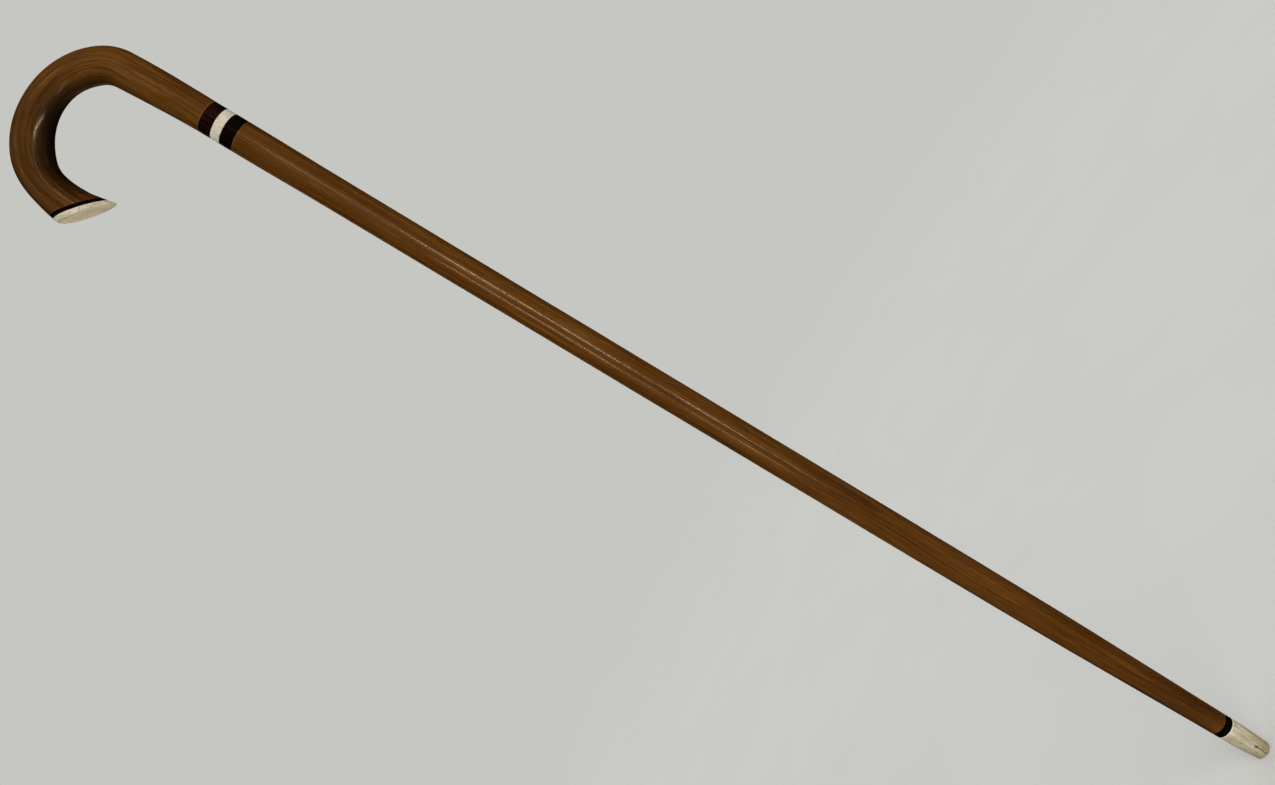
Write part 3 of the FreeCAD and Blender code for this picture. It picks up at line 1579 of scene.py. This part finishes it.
@dataclass
class Ferrule:
    """The dark ring and the tapered bone tip at the foot."""

    peg: float = 0.0060
    peg_in_tip: float = 0.019
    waist_diameter: float = 0.0141
    foot_diameter: float = 0.0120
    foot_rounding: float = 0.0012
    edge: float = 0.00018
    rim: float = 0.0009
    rim_pale: float = -0.9
    foot_stain: float = 0.25
    sole_stain: float = 0.35
    unevenness: float = 0.00007
    wave_length: float = 0.012
    rows: int = 120
    foot_rows: int = 8
    sole_rows: int = 6
    sides: int = 192
    marks: Marks = Marks((
        Pit(-92.0, 0.0098, 0.00125, 0.00055, 1.0, 1.3),
        Pit(-86.0, 0.0088, 0.00070, 0.00030, 0.85, 1.5),
        Crack(-93.0, 0.0, 0.0098, 0.00042, 0.00022),
        Pit(-97.0, 0.0146, 0.00090, 0.00003, 0.46, 1.9),
        Pit(-89.0, 0.0170, 0.00080, 0.00003, 0.36, 2.4),
        Pit(-94.0, 0.0198, 0.00095, 0.00003, 0.46, 2.2),
        Pit(-88.0, 0.0224, 0.00080, 0.00003, 0.38, 2.0),
        Pit(-96.0, 0.0248, 0.00090, 0.00003, 0.36, 2.4),
        Pit(-93.0, 0.0185, 0.00200, 0.0, 0.22, 4.8),
        Pit(-155.0, 0.0150, 0.00420, 0.0, 0.24, 4.0),
        Pit(-120.0, 0.0068, 0.00090, 0.00003, 0.40, 2.6),
        Pit(-60.0, 0.0150, 0.00060, 0.00012, 0.40, 2.0),
        Pit(35.0, 0.0110, 0.00060, 0.00030, 0.80, 1.8),
        Pit(62.0, 0.0188, 0.00050, 0.00020, 0.60, 2.0),
        Pit(128.0, 0.0142, 0.00055, 0.00025, 0.70, 1.6),
        Crack(122.0, 0.0012, 0.0120, 0.00018, 0.00015),
        Pit(176.0, 0.0226, 0.00045, 0.00018, 0.60, 2.2),
    ))

    def build(self) -> None:
        """Build the ring and the tip."""
        Ring("dark_ferrule_ring", "ferrule_ring", "ebony", EBONY, self.peg).build()
        self.build_tip()

    def tip_outline(self, top: float, top_radius: float) -> list[Spot]:
        """The tip's outline, from the bottom of its peg hole to its foot.

        Args:
            top: the height of the tip's upper face.
            top_radius: its radius there.

        Returns:
            The spots, from axis to axis.
        """
        bore = self.peg / 2
        spots = [Spot(0.0, top - self.peg_in_tip), Spot(bore, top - self.peg_in_tip)]
        spots += [Spot(bore, top), Spot(top_radius - self.edge, top, 0.0, self.rim_pale)]
        side = [
            (self.foot_rounding, self.foot_diameter / 2),
            (top / 2, self.waist_diameter / 2),
            (top, top_radius),
        ]
        for number in range(self.rows + 1):
            share = number / self.rows
            height = top - self.edge - (top - self.edge - self.foot_rounding) * share
            paling = self.rim_pale if top - height < self.rim else 0.0
            spots.append(Spot(smooth_through(side, height), height, 1.0, paling))
        inset = self.foot_diameter / 2 - self.foot_rounding
        for number in range(1, self.foot_rows + 1):
            share = number / self.foot_rows
            angle = math.pi / 2 * share
            out = inset + self.foot_rounding * math.cos(angle)
            up = self.foot_rounding * (1 - math.sin(angle))
            spots.append(Spot(out, up, 1.0 - share, self.foot_stain * share))
        for number in range(1, self.sole_rows + 1):
            spots.append(Spot(inset * (1 - number / self.sole_rows), 0.0, 0.0, self.sole_stain))
        return spots

    def build_tip(self) -> None:
        """Turn the bone tip with its pits and dress it."""
        low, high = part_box("ferrule_tip")
        blank = Blank()
        outline = self.tip_outline(high.z, (high.x - low.x) / 2)
        wave = hand_wave(self.unevenness, self.wave_length, 5.0)
        blank.turn(outline, self.sides, wave, self.marks)
        settle(blank.object("bone_foot"), "ferrule_tip", FOOT_BONE)


@dataclass
class Joinery:
    """The hidden dowels and pegs, which stay as they are in the frame."""

    nodes: tuple[str, ...] = ("collar_dowel", "ferrule_peg", "nose_peg_outer", "nose_peg_inner")
    finish: WoodFinish = DOWEL_WOOD

    def dress(self, found: dict[str, bpy.types.Object]) -> None:
        """Give each dowel its wood.

        Args:
            found: the frame's nodes by name.
        """
        wood = self.finish.material()
        for name in self.nodes:
            for slot in found[name].material_slots:
                slot.material = wood
            LOG.info("%s keeps its CAD shape", name)


# The studio


def hung(light: bpy.types.Light, direction: Vector) -> bpy.types.Object:
    """Put a light in the scene, shining in a direction.

    Args:
        light: what kind of light it is.
        direction: the way it shines.

    Returns:
        The light's object.
    """
    lamp = bpy.data.objects.new(light.name, light)
    lamp.rotation_euler = direction.to_track_quat("-Z", "Y").to_euler()
    bpy.context.scene.collection.objects.link(lamp)
    return lamp


@dataclass(frozen=True)
class Lamp:
    """A narrow light aimed at a point, which shows only as a streak in the polish."""

    name: str
    place: Point
    aim: Point
    width: float
    height: float
    power: float
    tone: Tone = Tone(255, 222, 172)

    def build(self) -> None:
        """Make the light."""
        data = bpy.data.lights.new(self.name, "AREA")
        data.shape = "RECTANGLE"
        data.size = self.width
        data.size_y = self.height
        data.energy = self.power
        data.color = self.tone.linear()[:3]
        lamp = hung(data, Vector(self.aim) - Vector(self.place))
        lamp.location = self.place
        lamp.visible_camera = False
        lamp.visible_diffuse = False


@dataclass(frozen=True)
class Sky:
    """A very soft light from one direction, the same everywhere, with no streak."""

    name: str
    azimuth: float
    elevation: float
    strength: float
    softness: float

    def build(self) -> None:
        """Make the light; azimuth 0 comes from -Y and 90 from +X."""
        turn = math.radians(self.azimuth)
        lift = math.radians(self.elevation)
        level = math.cos(lift)
        source = Vector((math.sin(turn) * level, -math.cos(turn) * level, math.sin(lift)))
        data = bpy.data.lights.new(self.name, "SUN")
        data.energy = self.strength
        data.angle = math.radians(self.softness)
        hung(data, -source).visible_glossy = False


@dataclass
class Studio:
    """The camera, the floor, the backdrop and the lights."""

    lens: float = 32.61
    sensor: float = 36.0
    viewpoint: tuple[float, float, float] = (-0.0094, -0.7209, 0.5168)
    tilt_down: float = 3.68
    roll: float = 59.06
    floor_radius: float = 3.0
    floor_drop: float = 0.0001
    backdrop: Tone = Tone(198, 199, 194)

    def build(self) -> None:
        """Set up everything around the cane."""
        bpy.context.scene.view_settings.view_transform = "Standard"
        self.build_camera()
        self.build_backdrop()
        self.build_floor()
        self.build_lights()

    def build_camera(self) -> None:
        """Place the camera, level with the cane's middle and rolled until the shaft runs down."""
        tilt = math.radians(self.tilt_down)
        roll = math.radians(self.roll)
        forward = Vector((0.0, math.cos(tilt), -math.sin(tilt)))
        level_up = Vector((0.0, math.sin(tilt), math.cos(tilt)))
        up = level_up * math.cos(roll) + forward.cross(level_up) * math.sin(roll)
        right = forward.cross(up)
        data = bpy.data.cameras.new("camera")
        data.sensor_width = self.sensor
        data.lens = self.lens
        data.clip_start = 0.01
        data.clip_end = 50.0
        camera = bpy.data.objects.new("camera", data)
        turn = Matrix((right, up, -forward)).transposed()
        camera.matrix_world = Matrix.Translation(self.viewpoint) @ turn.to_4x4()
        bpy.context.scene.collection.objects.link(camera)
        bpy.context.scene.camera = camera

    def build_backdrop(self) -> None:
        """Make the pale backdrop, which the camera sees and which lights nothing."""
        world = bpy.data.worlds.new("backdrop")
        world.use_nodes = True
        world.node_tree.nodes["Background"].inputs["Color"].default_value = self.backdrop.linear()
        seen = world.cycles_visibility
        seen.diffuse = False
        seen.glossy = False
        bpy.context.scene.world = world

    def build_floor(self) -> None:
        """Make the round paper floor."""
        floor = bmesh.new()
        bmesh.ops.create_circle(floor, cap_ends=True, segments=128, radius=self.floor_radius)
        data = bpy.data.meshes.new("floor")
        floor.to_mesh(data)
        floor.free()
        data.materials.append(FloorFinish().material())
        made = bpy.data.objects.new("floor", data)
        made.location.z = -self.floor_drop
        made.visible_glossy = False
        bpy.context.scene.collection.objects.link(made)

    def build_lights(self) -> None:
        """Make the soft lights, and the narrow ones that the wax shows as streaks."""
        skies = (
            Sky("overhead", 0.0, 90.0, 1.25, 120.0),
            Sky("front", 8.0, 28.0, 1.60, 60.0),
            Sky("left", -75.0, 25.0, 0.35, 60.0),
            Sky("behind", 170.0, 30.0, 0.55, 70.0),
        )
        lamps = (
            Lamp("front_strip", (0.10, -0.42, 0.49), (0.0, 0.0, 0.49), 0.014, 0.47, 1.00),
            Lamp("left_strip", (-0.24, -0.40, 0.48), (0.0, 0.0, 0.48), 0.014, 0.40, 0.62),
            Lamp("crook_strip", (0.10, -0.42, 0.95), (-0.08, 0.0, 0.80), 0.020, 0.42, 0.28),
            Lamp("back_strip", (-0.30, 0.50, 0.62), (0.0, 0.0, 0.62), 0.02, 1.10, 0.35),
            Lamp("right_strip", (0.55, -0.05, 0.62), (0.0, 0.0, 0.62), 0.02, 1.10, 0.30),
        )
        for light in skies + lamps:
            light.build()


def main() -> None:
    """Build the studio and each sub-assembly in order."""
    logging.basicConfig(level=logging.INFO, format="%(name)s: %(message)s")
    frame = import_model()
    Studio().build()
    line = CrookLine()
    pegs = (Peg(-0.0085), Peg(0.0035))
    Shaft().build()
    Collar().build()
    Crook(line, pegs).build()
    Nose(line, pegs).build()
    Ferrule().build()
    Joinery().dress(frame["nodes"])


if __name__ == "__main__":
    main()
